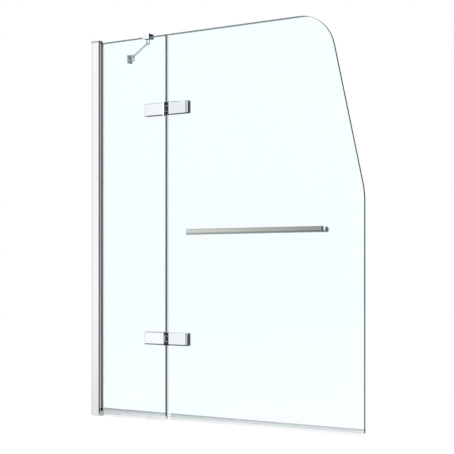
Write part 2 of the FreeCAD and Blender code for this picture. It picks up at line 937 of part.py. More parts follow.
def hinge_pads(name, side, level):
    """The two soft pads between a leaf's plates and the glass, notched round the boss."""
    half_height = s.leaf_height / 2
    notch_end = s.leaf_start + s.boss_length + s.boss_gap
    notch = s.boss_height / 2 + s.boss_gap
    far_end = s.leaf_start + s.leaf_length

    def x(distance):
        return s.pivot_x + distance * side

    outline = [
        (x(s.leaf_start), level - half_height),
        (x(far_end), level - half_height),
        (x(far_end), level + half_height),
        (x(s.leaf_start), level + half_height),
        (x(s.leaf_start), level + notch),
        (x(notch_end), level + notch),
        (x(notch_end), level - notch),
        (x(s.leaf_start), level - notch),
    ]
    label = f"{name}_hinge_{'moving' if side > 0 else 'fixed'}_pads"
    pieces = []
    for face, low, high in (
        ("front", -plate_face, -half_glass),
        ("back", half_glass, plate_face),
    ):
        body = new_body(f"{label}_{face}")
        pad(body, "XZ", low, high, [outline])
        round_edges(
            body,
            s.plate_corner,
            lambda edge: along(edge, "y") and near(edge.BoundBox.XMin, x(far_end)),
        )
        pieces.append(body)
    group(label, pieces)


def pivot_pin(name, level):
    """The hinge pin, held in the fixed knuckles, with a flat in the middle that the plunger finds."""
    half_leaf = s.leaf_height / 2
    body = new_body(f"{name}_hinge_pin")
    pad(
        body,
        "XY",
        level - half_leaf,
        level + half_leaf,
        circles=[(s.pivot_x, 0, s.pin_radius)],
    )
    flat = rectangle(
        s.pivot_x + s.pin_radius - s.pin_flat,
        s.pivot_x + s.pin_radius * 1.5,
        level - s.pin_flat_height / 2,
        level + s.pin_flat_height / 2,
    )
    pocket(body, "XZ", -s.pin_radius, s.pin_radius, [flat])
    ends = (level - half_leaf, level + half_leaf)
    bevel_edges(
        body,
        s.pin_chamfer,
        lambda edge: edge.BoundBox.ZLength < 1e-6 and near(edge.BoundBox.ZMin, *ends),
    )
    keep(body, f"{name}_hinge_pin")


def leaf_screws(label, side):
    """The countersunk screws of both hinges' leaves on one side."""
    head = s.leaf_head_depth
    length = leaf_face + plate_face + s.leaf_screw_bite - s.leaf_head_inset * 2
    profile = [
        (0, -length),
        (s.leaf_screw_radius, -length),
        (s.leaf_screw_radius, -head),
        (s.leaf_head_radius, 0),
        (0, 0),
    ]
    places = [place for level in hinges.values() for place in leaf_screw_places(side, level)]
    pieces = [
        turned(f"{label}_{i}", profile, x, leaf_face - s.leaf_head_inset, z, "+y")
        for i, (x, z) in enumerate(places)
    ]
    group(label, pieces)


def knuckle_fittings():
    """The pins' set screws and the washers between the knuckles, for both hinges."""
    screws = []
    washers = []
    half_leaf = s.leaf_height / 2
    screw_start = s.pin_radius + s.pin_hold_play
    screw_length = s.barrel_radius - screw_start - s.set_screw_inset
    ring_radius = s.pin_radius + s.pin_run_play
    for name, level in hinges.items():
        for end, middle in (
            ("low", level - half_leaf + s.fixed_knuckle / 2),
            ("high", level + half_leaf - s.fixed_knuckle / 2),
        ):
            screw = rod(
                f"set_screw_{name}_{end}",
                s.set_screw_radius,
                screw_length,
                s.pivot_x,
                screw_start,
                middle,
                "+y",
            )
            screws.append(screw)
        low_washer = level - half_leaf + s.fixed_knuckle + s.knuckle_play / 2
        high_washer = level + moving_knuckle + s.knuckle_play * 1.5
        profile = [
            (ring_radius, 0),
            (s.barrel_radius, 0),
            (s.barrel_radius, s.knuckle_washer),
            (ring_radius, s.knuckle_washer),
        ]
        for end, z in (("low", low_washer), ("high", high_washer)):
            washers.append(turned(f"washer_{name}_{end}", profile, s.pivot_x, 0, z))
    group("hinge_pin_set_screws", screws)
    group("hinge_knuckle_washers", washers)


def detents():
    """In each moving leaf: the plunger that finds the pin's flat, its spring and the preload screw."""
    plungers = []
    springs = []
    screws = []
    radius = s.spring_bore - s.plunger_play
    plunger_start = s.pivot_x + s.pin_radius + s.plunger_play
    spring_start = plunger_start + s.plunger_length
    screw_start = spring_start + s.spring_length
    coil_radius = radius - s.spring_wire * 1.5
    for name, level in hinges.items():
        plunger = rod(f"plunger_{name}", radius, s.plunger_length, plunger_start, 0, level, "+x")
        plungers.append(plunger)
        spring = new_body(f"spring_{name}")
        sketch = new_sketch(spring, "XZ", 0)
        add_loop(sketch, rectangle(coil_radius, coil_radius + s.spring_wire, 0, s.spring_wire))
        helix = spring.newObject("PartDesign::AdditiveHelix", "Helix")
        helix.Profile = sketch
        helix.ReferenceAxis = (sketch, ["V_Axis"])
        helix.Mode = "height-turns-growth"
        bind(helix, "Height", s.spring_length - s.spring_wire)
        bind(helix, "Turns", s.spring_turns)
        place(spring, spring_start, 0, level, "+x")
        springs.append(spring)
        screw = rod(f"preload_{name}", radius, s.preload_length, screw_start, 0, level, "+x")
        screws.append(screw)
    group("hinge_detent_plungers", plungers)
    group("hinge_detent_springs", springs)
    group("hinge_preload_screws", screws)


# The towel bar


def towel_bar():
    """A tube with soft corners, closed at both ends by flat caps."""
    front = -s.bar_back - s.bar_depth
    half_height = s.bar_height / 2
    low, high = s.bar_level - half_height, s.bar_level + half_height
    outline = rectangle(front, -s.bar_back, low, high)
    hollow = rectangle(
        front + s.bar_wall, -s.bar_back - s.bar_wall, low + s.bar_wall, high - s.bar_wall
    )
    end = s.bar_start + s.bar_length

    def long_corner(edge):
        box = edge.BoundBox
        return along(edge, "x") and near(box.YMin, front, -s.bar_back) and near(box.ZMin, low, high)

    body = new_body("towel_bar")
    pad(body, "YZ", s.bar_start + s.bar_cap, end - s.bar_cap, [outline, hollow])
    round_edges(body, s.bar_corner, long_corner)
    keep(body, "towel_bar")
    caps = []
    for name, start in (("left", s.bar_start), ("right", end - s.bar_cap)):
        cap = new_body(f"bar_cap_{name}")
        pad(cap, "YZ", start, start + s.bar_cap, [outline])
        round_edges(cap, s.bar_corner, long_corner)
        caps.append(cap)
    group("towel_bar_end_caps", caps)


def towel_bar_posts():
    """Posts with a square foot and a round neck, tapped from the glass side."""
    foot_front = -plate_face - s.post_foot_thick
    pieces = []
    for i, x in enumerate(post_places):
        body = new_body(f"towel_bar_post_{i}")
        half_foot = s.post_foot / 2
        level = s.bar_level
        foot = rectangle(x - half_foot, x + half_foot, level - half_foot, level + half_foot)
        pad(body, "XZ", foot_front, -half_glass - s.washer_thick, [foot])
        bevel_edges(
            body,
            s.post_chamfer,
            lambda edge: edge.BoundBox.YLength < 1e-6 and near(edge.BoundBox.YMin, foot_front),
        )
        pad(body, "XZ", -s.bar_back, foot_front, circles=[(x, level, s.post_neck_radius)])
        bore = [(x, level, s.bolt_radius + s.tapped_play)]
        hole_end = -half_glass - s.washer_thick - s.bolt_bite
        pocket(body, "XZ", hole_end, -half_glass - s.washer_thick, circles=bore)
        pieces.append(body)
    group("towel_bar_posts", pieces)


def towel_bar_fixings():
    """The washers, bushes and domed bolts that hold the posts through the glass."""
    hole = s.bolt_radius + s.bolt_play
    sleeve = s.glass_hole_radius - s.bush_play
    back = half_glass + s.washer_thick
    washer = [(hole, 0), (s.washer_radius, 0), (s.washer_radius, s.washer_thick)]
    washer.append((hole, s.washer_thick))
    bush = [
        (hole, -half_glass + s.bush_play),
        (sleeve, -half_glass + s.bush_play),
        (sleeve, half_glass),
        (s.washer_radius, half_glass),
        (s.washer_radius, back),
        (hole, back),
    ]
    tip = -half_glass - s.washer_thick - s.bolt_bite + s.bush_play
    bolt = [
        (0, tip),
        (s.bolt_radius, tip),
        (s.bolt_radius, back),
        (s.bolt_head_radius, back),
        (s.bolt_head_radius, back + s.bolt_head_height / 2),
        (s.bolt_head_radius * 0.85, back + s.bolt_head_height * 0.85),
        (s.bolt_head_radius * 0.5, back + s.bolt_head_height),
        (0, back + s.bolt_head_height),
    ]
    for label, profile, y in (
        ("towel_bar_washers", washer, -half_glass - s.washer_thick),
        ("towel_bar_bushes", bush, 0),
        ("towel_bar_bolts", bolt, 0),
    ):
        pieces = [
            turned(f"{label}_{i}", profile, x, y, s.bar_level, "+y")
            for i, x in enumerate(post_places)
        ]
        group(label, pieces)


# The support arm


def glass_clamp():
    """The saddle over the fixed pane's upper edge, with the arm's pivot boss under its back jaw."""
    body = new_body("glass_clamp")
    front_face = -clamp_inner - s.clamp_front
    roof = glass_top + s.liner_thick
    section = [
        (front_face, clamp_bottom),
        (-clamp_inner, clamp_bottom),
        (-clamp_inner, roof),
        (clamp_inner, roof),
        (clamp_inner, clamp_bottom),
        (clamp_back_face, clamp_bottom),
        (clamp_back_face, clamp_top),
        (front_face, clamp_top),
    ]
    low_x = s.clamp_centre - s.clamp_length / 2
    high_x = s.clamp_centre + s.clamp_length / 2
    pad(body, "YZ", low_x, high_x, [section])

    def outer_edge(edge):
        box = edge.BoundBox
        upright = along(edge, "z") or along(edge, "y") and near(box.ZMin, clamp_top)
        lengthwise = along(edge, "x") and near(box.ZMin, clamp_top)
        outside = near(box.YMin, front_face) or near(box.YMax, clamp_back_face)
        return upright and outside or lengthwise

    bevel_edges(body, s.clamp_chamfer, outer_edge)
    boss_bottom = arm_level + half_eye + s.eye_play
    pad(
        body,
        "XY",
        boss_bottom,
        clamp_bottom,
        circles=[(arm_axis_x, arm_axis_y, s.clamp_boss_radius)],
    )
    pivot = [(arm_axis_x, arm_axis_y, s.arm_pin_radius + s.tapped_play)]
    pocket(body, "XY", boss_bottom, boss_bottom + s.clamp_pin_bite, circles=pivot)
    level = clamp_bottom + s.clamp_screw_level
    radius = s.clamp_screw_radius + s.tapped_play
    holes = [
        (s.clamp_centre + s.clamp_screw_spread / 2 * hand, level, radius) for hand in (-1, 1)
    ]
    pocket(body, "XZ", clamp_inner, clamp_back_face, circles=holes)
    keep(body, "glass_clamp")


def clamp_fittings():
    """The liner between clamp and glass, and the two grub screws in the back jaw."""
    body = new_body("glass_clamp_liner")
    section = [
        (-clamp_inner, clamp_bottom),
        (-half_glass, clamp_bottom),
        (-half_glass, glass_top),
        (half_glass, glass_top),
        (half_glass, clamp_bottom),
        (clamp_inner, clamp_bottom),
        (clamp_inner, glass_top + s.liner_thick),
        (-clamp_inner, glass_top + s.liner_thick),
    ]
    low_x = s.clamp_centre - s.clamp_length / 2
    pad(body, "YZ", low_x, low_x + s.clamp_length, [section])
    keep(body, "glass_clamp_liner")
    level = clamp_bottom + s.clamp_screw_level
    pieces = []
    for hand in (-1, 1):
        x = s.clamp_centre + s.clamp_screw_spread / 2 * hand
        name = f"clamp_screw_{'left' if hand < 0 else 'right'}"
        screw = rod(name, s.clamp_screw_radius, s.clamp_screw_length, x, clamp_inner, level, "+y")
        pieces.append(screw)
    group("glass_clamp_screws", pieces)


def arm_pivot_screw():
    """The shoulder screw that hangs the arm's eye under the clamp."""
    head = s.arm_pin_head_thick
    length = s.eye_thick + s.eye_play * 2 + s.clamp_pin_bite - s.clamp_pin_play
    profile = [
        (0, -head),
        (s.arm_pin_head * 0.8, -head),
        (s.arm_pin_head, -head * 0.6),
        (s.arm_pin_head, 0),
        (s.arm_pin_radius, 0),
        (s.arm_pin_radius, length),
        (0, length),
    ]
    seat = arm_level - half_eye - s.eye_play
    body = turned("brace_pivot_screw", profile, arm_axis_x, arm_axis_y, seat)
    keep(body, "brace_pivot_screw")


def support_arm():
    """A round bar from an eye at the clamp to a taller hub at the wall, made along its own x axis."""
    body = new_body("support_arm")
    pad(
        body,
        "XY",
        -half_eye,
        half_eye,
        circles=[(0, 0, s.eye_radius), (arm_length, 0, s.eye_radius)],
    )
    half_neck = s.neck_width / 2
    inner = s.arm_pin_radius + s.arm_pin_play
    rod_end = arm_length - s.neck_length
    necks = [
        rectangle(inner, s.neck_length, -half_neck, half_neck),
        rectangle(rod_end, arm_length - inner, -half_neck, half_neck),
    ]
    pad(body, "XY", -half_eye, half_eye, necks)
    pad(body, "XY", -s.hub_drop, -half_eye, circles=[(arm_length, 0, s.hub_radius)])
    pad(body, "YZ", s.neck_length, rod_end, circles=[(0, 0, s.arm_radius)])
    pocket(body, "XY", -half_eye, half_eye, circles=[(0, 0, inner)])
    pocket(body, "XY", -s.hub_drop, half_eye, circles=[(arm_length, 0, inner)])
    place(body, arm_axis_x, arm_axis_y, arm_level)
    run = s.foot_pin_reach - arm_axis_x
    rise = s.foot_offset - arm_axis_y
    body.setExpression("Placement.Rotation.Angle", f"atan2({rise.text}; {run.text})")
    keep(body, "support_arm")


def wall_foot():
    """The foot on the wall: a flange with two countersunk holes, and two ears round the arm's hub."""
    body = new_body("wall_foot")
    half_width = s.foot_width / 2
    half_height = s.foot_height / 2
    y = s.foot_offset
    z = arm_level - s.foot_drop
    flange = rectangle(y - half_width, y + half_width, z - half_height, z + half_height)
    pad(body, "YZ", 0, s.foot_plate, [flange])
    round_edges(
        body,
        s.foot_corner,
        lambda edge: along(edge, "x"),
    )
    radius = s.ear_radius
    for low, high in ((fork_bottom - s.ear_thick, fork_bottom), (fork_top, fork_top + s.ear_thick)):
        ear = rectangle(s.foot_plate, s.foot_pin_reach, y - radius, y + radius)
        pad(body, "XY", low, high, [ear])
        pad(body, "XY", low, high, circles=[(s.foot_pin_reach, y, radius)])
    bore = [(s.foot_pin_reach, y, s.arm_pin_radius + s.pin_hold_play)]
    pocket(body, "XY", fork_bottom - s.ear_thick, fork_top + s.ear_thick, circles=bore)
    half_spread = s.foot_hole_spread / 2
    holes = [(y + half_spread * hand, z, s.foot_hole_radius) for hand in (-1, 1)]
    pocket(body, "YZ", 0, s.foot_plate, circles=holes)

    def hole_rim(edge):
        box = edge.BoundBox
        round_rim = near(box.YLength, s.foot_hole_radius * 2) and near(box.ZLength, box.YLength)
        return round_rim and box.XLength < 1e-6 and near(box.XMin, s.foot_plate)

    bevel_edges(body, s.foot_hole_sink, hole_rim)
    keep(body, "wall_foot")


def wall_foot_pin():
    """The headed pin through the ears and the arm's hub."""
    top = fork_top + s.ear_thick
    length = top - fork_bottom + s.ear_thick
    head = s.arm_pin_head_thick / 2
    profile = [
        (0, -length),
        (s.arm_pin_radius, -length),
        (s.arm_pin_radius, 0),
        (s.arm_pin_head, 0),
        (s.arm_pin_head, head / 2),
        (s.arm_pin_head * 0.8, head),
        (0, head),
    ]
    body = turned("wall_foot_pin", profile, s.foot_pin_reach, s.foot_offset, top)
    keep(body, "wall_foot_pin")


# The whole screen

wall_channel()
glass_channel()
glazing_gasket()
channel_end(
    "channel_top_cap",
    (channel_top, s.screen_height),
    (channel_top - s.plug_depth, channel_top),
    s.channel_depth + s.cap_overhang,
)
channel_end(
    "channel_foot_plug",
    (0, channel_bottom),
    (channel_bottom, channel_bottom + s.plug_depth),
    s.inner_end,
)
lock_screws_and_caps()
fixed_glass_panel()
door_glass_panel()
fixed_panel_bottom_seal()
setting_blocks()
door_bottom_sweep()
seam_seal("seam_seal_top", upper_hinge + half_mouth, glass_top)
seam_seal("seam_seal_middle", lower_hinge + half_mouth, upper_hinge - half_mouth)
seam_seal("seam_seal_bottom", s.seam_bottom, lower_hinge - half_mouth)
for hinge_name, hinge_level in hinges.items():
    for leaf_side in (-1, 1):
        hinge_leaf(hinge_name, leaf_side, hinge_level)
        hinge_cover(hinge_name, leaf_side, hinge_level)
        hinge_pads(hinge_name, leaf_side, hinge_level)
    pivot_pin(hinge_name, hinge_level)
leaf_screws("hinge_fixed_leaf_screws", -1)
leaf_screws("hinge_moving_leaf_screws", 1)
knuckle_fittings()
detents()
towel_bar()
towel_bar_posts()
towel_bar_fixings()
glass_clamp()
clamp_fittings()
arm_pivot_screw()
support_arm()
wall_foot()
wall_foot_pin()

doc.recompute()
for item in doc.Objects:
    if "Invalid" in item.State or "Error" in item.State:
        raise RuntimeError(f"{item.Name} is in state {item.State}")
for item in parts:
    if item.Shape.isNull() or not item.Shape.isValid() or not item.Shape.Solids:
        raise RuntimeError(f"{item.Label} has no valid solid")

os.makedirs("parts", exist_ok=True)
for item in parts:
    item.Shape.exportStep(f"parts/{item.Label}.step")
    print(f"{item.Label}: {len(item.Shape.Solids)} solid(s), {item.Shape.Volume / 1000:.2f} cm3")
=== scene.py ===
# %% [markdown]
# # A hinged bath screen, dressed for its photograph
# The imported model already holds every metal, glass and rubber piece at its true size. A reader who
# is learning Blender could model them all again from the photograph, but then nothing would fit.
# So this lesson only loads the model, gives every piece the finish of the real one, adds the few
# forms that are too fine for the model, and sets up the camera and the light.

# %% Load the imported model
import json
import math
import bmesh
import bpy
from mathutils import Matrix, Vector


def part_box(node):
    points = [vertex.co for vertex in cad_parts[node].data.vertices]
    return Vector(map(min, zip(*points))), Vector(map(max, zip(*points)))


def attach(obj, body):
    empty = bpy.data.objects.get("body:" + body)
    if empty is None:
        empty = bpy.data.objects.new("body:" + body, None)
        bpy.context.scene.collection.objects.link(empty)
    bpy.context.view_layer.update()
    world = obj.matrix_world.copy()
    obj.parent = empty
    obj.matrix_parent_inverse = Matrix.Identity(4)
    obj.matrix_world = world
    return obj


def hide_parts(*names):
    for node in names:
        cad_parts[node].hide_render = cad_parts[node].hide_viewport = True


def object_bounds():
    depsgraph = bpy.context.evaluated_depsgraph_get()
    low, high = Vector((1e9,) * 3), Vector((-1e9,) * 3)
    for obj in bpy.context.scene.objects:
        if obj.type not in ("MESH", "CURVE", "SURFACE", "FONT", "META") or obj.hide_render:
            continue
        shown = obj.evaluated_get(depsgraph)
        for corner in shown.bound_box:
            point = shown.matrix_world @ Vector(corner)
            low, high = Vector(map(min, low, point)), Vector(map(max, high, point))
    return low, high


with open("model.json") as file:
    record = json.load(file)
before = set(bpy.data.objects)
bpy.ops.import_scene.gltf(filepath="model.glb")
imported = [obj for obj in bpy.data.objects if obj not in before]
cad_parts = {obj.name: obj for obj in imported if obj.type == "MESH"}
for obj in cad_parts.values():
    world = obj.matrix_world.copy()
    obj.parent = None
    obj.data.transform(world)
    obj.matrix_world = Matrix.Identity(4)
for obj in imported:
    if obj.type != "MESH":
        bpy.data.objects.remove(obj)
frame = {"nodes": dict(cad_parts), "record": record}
model_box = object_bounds()
MM = 0.001
print("nodes:", len(frame["nodes"]), "box:", model_box)

# %% [markdown]
# ## Shader maths that reads like maths
# A material is a graph of nodes. It could be wired by hand, one link at a time, but the sums get
# lost among the links. A small class wraps a socket and overloads the operators, so that
# `1 - mask * 0.3` adds its own Math nodes and a reader sees the formula.

# %% The socket wrapper
class Field:
    """A value that varies over a surface: an output socket that can be used in a sum."""

    def __init__(self, tree, socket):
        self.tree = tree
        self.socket = socket

    def math(self, operation, *others):
        node = self.tree.nodes.new("ShaderNodeMath")
        node.operation = operation
        for slot, value in zip(node.inputs, (self, *others)):
            put(self.tree, slot, value)
        return Field(self.tree, node.outputs[0])

    def __add__(self, other):
        return self.math("ADD", other)

    def __sub__(self, other):
        return self.math("SUBTRACT", other)

    def __rsub__(self, other):
        return (self * -1) + other

    def __mul__(self, other):
        return self.math("MULTIPLY", other)

    def __truediv__(self, other):
        return self.math("DIVIDE", other)

    def __pow__(self, other):
        return self.math("POWER", other)

    __radd__ = __add__
    __rmul__ = __mul__


def put(tree, slot, value):
    """Link a field to a socket, or write a plain value into it."""
    if isinstance(value, Field):
        tree.links.new(value.socket, slot)
    elif isinstance(value, (tuple, list)) and len(value) == 3 and len(slot.default_value) == 4:
        slot.default_value = (*value, 1.0)
    else:
        slot.default_value = value


# %% [markdown]
# A graph is a node tree with helpers. One method adds any kind of node; the others are short names
# for the nodes that the screen's materials and the room around it need most.

# %% The node graph
class Graph:
    """A node tree and the helpers that add nodes to it."""

    def __init__(self, tree):
        self.tree = tree
        self.tree.nodes.clear()

    def node(self, kind, settings=None, values=None, output=0):
        """Any node: its type, its settings, the values of its sockets, and the output wanted."""
        node = self.tree.nodes.new(kind)
        for key, setting in (settings or {}).items():
            if key == "stops":
                self.fill_ramp(node.color_ramp, setting)
            else:
                setattr(node, key, setting)
        for key, value in (values or {}).items():
            put(self.tree, node.inputs[key], value)
        return Field(self.tree, node.outputs[output]) if node.outputs else None

    def fill_ramp(self, ramp, stops):
        """Colours that each hold from their place to the next one's."""
        ramp.interpolation = "CONSTANT"
        ramp.elements.remove(ramp.elements[1])
        ramp.elements[0].color = (*stops[0][1], 1.0)
        for place, colour in stops[1:]:
            ramp.elements.new(place).color = (*colour, 1.0)

    def blend(self, factor, low, high):
        """A colour between two colours."""
        return self.node("ShaderNodeMix", {"data_type": "RGBA"}, {0: factor, 6: low, 7: high}, 2)

    def band(self, field, low, high):
        """1 between two values of a field, and 0 outside them."""
        return field.math("GREATER_THAN", low) * field.math("LESS_THAN", high)

    def between(self, field, low, high):
        """0 below the low value, 1 above the high one, and a straight ramp in the middle."""
        return self.node(
            "ShaderNodeMapRange", values={"Value": field, "From Min": low, "From Max": high}
        )

    def ray(self, kind):
        """1 for rays of one kind, such as Camera or Glossy, and 0 for all others."""
        return self.node("ShaderNodeLightPath", output=f"Is {kind} Ray")

    def mix_shaders(self, factor, first, second):
        """The first shader where the factor is 0, and the second where it is 1."""
        return self.node("ShaderNodeMixShader", values={0: factor, 1: first, 2: second})


# %% [markdown]
# A finish is a graph on one material. It also knows where on the piece a point lies and which way
# the surface faces there. Painted maps could say that too, but they would have to be made anew for
# each piece, while a place in metres is the same sum on all of them.

# %% The finish builder
class Finish(Graph):
    """One material: its graph and its shader."""

    def __init__(self, name):
        self.material = bpy.data.materials.new(name)
        self.material.use_nodes = True
        super().__init__(self.material.node_tree)

    def place(self):
        """The point on the piece, in metres, which stays with the piece when it moves."""
        return self.node("ShaderNodeTexCoord", output="Object")

    def axis(self, name):
        """One coordinate of that point."""
        return self.node("ShaderNodeSeparateXYZ", values={"Vector": self.place()}, output=name)

    def noise(self, scale, stretch=(1, 1, 1), detail=2.0):
        """Soft random variation from 0 to 1, scaled in cycles per metre along each axis."""
        vector = self.node(
            "ShaderNodeVectorMath",
            {"operation": "MULTIPLY"},
            {0: self.place(), 1: tuple(scale * share for share in stretch)},
        )
        return self.node(
            "ShaderNodeTexNoise", values={"Vector": vector, "Scale": 1.0, "Detail": detail}
        )

    def facing(self, axis):
        """How far the surface faces along one of the piece's own axes, from -1 to 1."""
        normal = self.node("ShaderNodeNewGeometry", output="Normal")
        own = self.node(
            "ShaderNodeVectorTransform",
            {"vector_type": "NORMAL", "convert_from": "WORLD", "convert_to": "OBJECT"},
            {"Vector": normal},
        )
        return self.node("ShaderNodeSeparateXYZ", values={"Vector": own}, output=axis)

    def steps(self, field, stops):
        """Steps of colour along a field from 0 to 1."""
        return self.node("ShaderNodeValToRGB", {"stops": stops}, {"Fac": field})

    def bump(self, height, distance, strength=0.5):
        """A normal that follows a height given from 0 to 1, this many metres high."""
        return self.node(
            "ShaderNodeBump", values={"Strength": strength, "Distance": distance, "Height": height}
        )

    def surface(self, **values):
        """The main shader, with its sockets by name."""
        names = {key.replace("_", " "): value for key, value in values.items()}
        return self.node("ShaderNodeBsdfPrincipled", values=names)

    def finish(self, shader):
        """Hand the shader to the material's output."""
        self.node("ShaderNodeOutputMaterial", values={"Surface": shader})
        print("finish:", self.material.name)
        return self.material


# %% [markdown]
# ## Clear glass with a dark edge
# A toughened pane looks almost colourless through its face, but along its cut edge the light runs
# through much more glass and comes out a deep grey-green. A true volume could show that, at the
# cost of long, noisy renders. Here the two faces mix a thin glossy skin into a tinted window, and
# only the narrow sides of the pane, picked by the direction in which they face, are a solid,
# glossy green-grey.
#
# Three places differ. At the seam each pane lights the edge of the other, so only part of that
# edge's depth stays dark. Inside the lower seal the edge is hidden, so it is nearly clear. And the
# last bit of the face under the top edge is nearly as dark as the edge, because its ground corner
# catches no light.

# %% The panes' glass
FACE_TINT = (0.60, 0.92, 0.96)
FACE_TINT_WARM = (0.66, 0.90, 0.94)
SEEN_THROUGH = (0.972, 0.998, 1.0)
EDGE_COLOUR = (0.018, 0.026, 0.024)
SMEAR_SCALE = 7.0
SMEAR_STRETCH = (1, 1, 0.4)
FACE_COVER = 0.05
FACE_ROUGHNESS = 0.03
EDGE_ROUGHNESS = 0.25
SQUARE_ON = 0.95
PIVOT_X = 371 * MM
SEAM_REACH = 12 * MM
FOOT_LEVEL = 19.5 * MM
FOOT_CLEARNESS = 0.8
RIM_LEVEL = 1457.5 * MM
RIM_SHADE = 0.8


def pane_finish(name, side, lit_depth):
    """A pane whose edge at the seam, counted in y towards that side, is lit up to a depth."""
    finish = Finish(name)
    face = finish.facing("Y").math("ABSOLUTE").math("GREATER_THAN", SQUARE_ON)
    from_seam = (finish.axis("X") - PIVOT_X).math("ABSOLUTE")
    seam_edge = from_seam.math("LESS_THAN", SEAM_REACH) * (1 - face)
    lit_edge = (finish.axis("Y") * side).math("LESS_THAN", lit_depth) * seam_edge
    hidden_foot = finish.axis("Z").math("LESS_THAN", FOOT_LEVEL) * FOOT_CLEARNESS
    rim = finish.axis("Z").math("GREATER_THAN", RIM_LEVEL)
    clear = face.math("MAXIMUM", lit_edge).math("MAXIMUM", hidden_foot) * (1 - rim * RIM_SHADE)
    smears = finish.noise(SMEAR_SCALE, SMEAR_STRETCH)
    tint = finish.blend(smears, FACE_TINT, FACE_TINT_WARM)
    skin = finish.surface(
        Base_Color=finish.blend(clear, EDGE_COLOUR, tint),
        Roughness=EDGE_ROUGHNESS - face * (EDGE_ROUGHNESS - FACE_ROUGHNESS),
    )
    window = finish.node("ShaderNodeBsdfTransparent", values={"Color": SEEN_THROUGH})
    return finish.finish(finish.mix_shaders(1 - clear * (1 - FACE_COVER), window, skin))


fixed_glass = pane_finish("fixed_pane_glass", side=1, lit_depth=-3.9 * MM)
door_glass = pane_finish("door_pane_glass", side=-1, lit_depth=2.2 * MM)

# %% [markdown]
# ## Polished and machined metal
# Polished metal takes its look from what it mirrors, so its own graph is short: a pale metallic
# colour and very fine wear that keeps the highlights alive. Each metal piece could get a texture
# of its own, but what tells them apart is only where they are darkened, so every finish takes a
# small function that gives its shade, from 0 for dark to 1 for the metal's own colour. On most
# pieces that is painted shade; on the brace's arm it is only an uneven tone.

# %% The metals
# The colour that painted shade, and the arm's uneven tone, darken the metal towards.
DARK_TONE_AND_PAINTED_SHADE = (0.012, 0.014, 0.012)
CLOUD_SCALE = 9.0
CLOUD_SHADE = 0.97
GRAIN_SCALE = 400.0
GRAIN_HEIGHT = 0.01 * MM
GRAIN_ROUGHNESS = 0.05
EVEN = (1, 1, 1)
ALONG_X = (0.02, 1, 1)
ALONG_Z = (1, 1, 0.01)


def metal_finish(name, colour, roughness, lines, shading):
    """A metal with fine grain, and a shade that the shading function gives for each place."""
    finish = Finish(name)
    grain = finish.noise(GRAIN_SCALE, lines, detail=3.0)
    clouded = tuple(share * CLOUD_SHADE for share in colour)
    polished = finish.blend(finish.noise(CLOUD_SCALE), colour, clouded)
    shader = finish.surface(
        Base_Color=finish.blend(shading(finish), DARK_TONE_AND_PAINTED_SHADE, polished),
        Metallic=1.0,
        Roughness=grain * GRAIN_ROUGHNESS + roughness,
        Normal=finish.bump(grain, GRAIN_HEIGHT),
    )
    return finish.finish(shader)


def painted_shade_bands(finish, along, bands):
    """A painted shade of 1 that each band darkens; a band's start and end are in millimetres."""
    shade = 1
    for start, end, darkness in bands:
        shade = shade * (1 - finish.band(along, start * MM, end * MM) * darkness)
    return shade


# %% [markdown]
# Castings and turned screws get painted shade on their undersides, which stands in for the dark
# room below that they would mirror. A mask of the direction in which the surface faces gives that
# on any shape, so it needs no image texture.

# %% Castings and screws
UNDERSIDE = (0.35, 0.6)
UNDERSIDE_SHADE = 0.92
BRIGHT = (0.92, 0.955, 0.97)
STEEL_GREY = (0.62, 0.63, 0.64)


def painted_underside_shade(finish):
    """Painted shade on the undersides."""
    return 1 - finish.between(finish.facing("Z") * -1, *UNDERSIDE) * UNDERSIDE_SHADE


chrome = metal_finish("polished_chrome", BRIGHT, 0.07, EVEN, painted_underside_shade)
steel = metal_finish("machined_steel", STEEL_GREY, 0.28, EVEN, painted_underside_shade)

# %% [markdown]
# The hinges are chromed castings. Besides their undersides, the knuckles between the two plates,
# the right ends and the fixed plate's upper rim get painted shade, and the door's plates have a
# panel painted a touch greyer, a painted reflection. A room full of dark things to mirror would
# give that from one side only, so these are bands of painted shade, counted in millimetres from
# the pivot. Each row of the table is a start, an end and how dark it gets.

# %% The hinges' chrome
# Painted shade from the pivot: the fixed plate's left edge, the knuckles, the greyer panel as a
# painted reflection, and two bands over the right ends.
HINGE_SHADE_BANDS = [
    (-101.5, -97.5, 0.25),
    (-8.5, 9, 0.96),
    (18, 87, 0.07),
    (91.5, 102, 0.5),
    (102, 105, 0.95),
]
# Painted shade along the foot of the lower hinge's plates, in millimetres of height.
LOWER_PLATE_FOOT_SHADE = [(287, 292.2, 0.85)]
UPPER_RIM = (0.3, 0.6)
UPPER_RIM_SHADE = 0.5


def hinge_shade(finish):
    """Painted shade on undersides, knuckles, rim and right ends; a greyer painted reflection panel.
    """
    from_pivot = finish.axis("X") - PIVOT_X
    fixed_plate = from_pivot.math("LESS_THAN", 0)
    rim = finish.between(finish.facing("Z"), *UPPER_RIM) * fixed_plate
    shade = painted_underside_shade(finish) * (1 - rim * UPPER_RIM_SHADE)
    shade = shade * painted_shade_bands(finish, finish.axis("Z"), LOWER_PLATE_FOOT_SHADE)
    return shade * painted_shade_bands(finish, from_pivot, HINGE_SHADE_BANDS)


hinge_chrome = metal_finish("hinge_chrome", BRIGHT, 0.07, EVEN, hinge_shade)

# %% [markdown]
# The towel bar is a drawn tube with a brushed finish. Its grain runs along it, which a noise gives
# when it is stretched in x, and painted shade darkens bands along its rounded top and bottom edges.

# %% The towel bar's metal
BAR_SHADE_BANDS = [(690, 708.5, 0.42), (719.5, 740, 0.25)]


def bar_shade(finish):
    """Painted shade in bands along the bottom and the top, over the rounded edges."""
    return painted_shade_bands(finish, finish.axis("Z"), BAR_SHADE_BANDS)


bar_metal = metal_finish("satin_bar", (0.72, 0.75, 0.72), 0.12, ALONG_X, bar_shade)

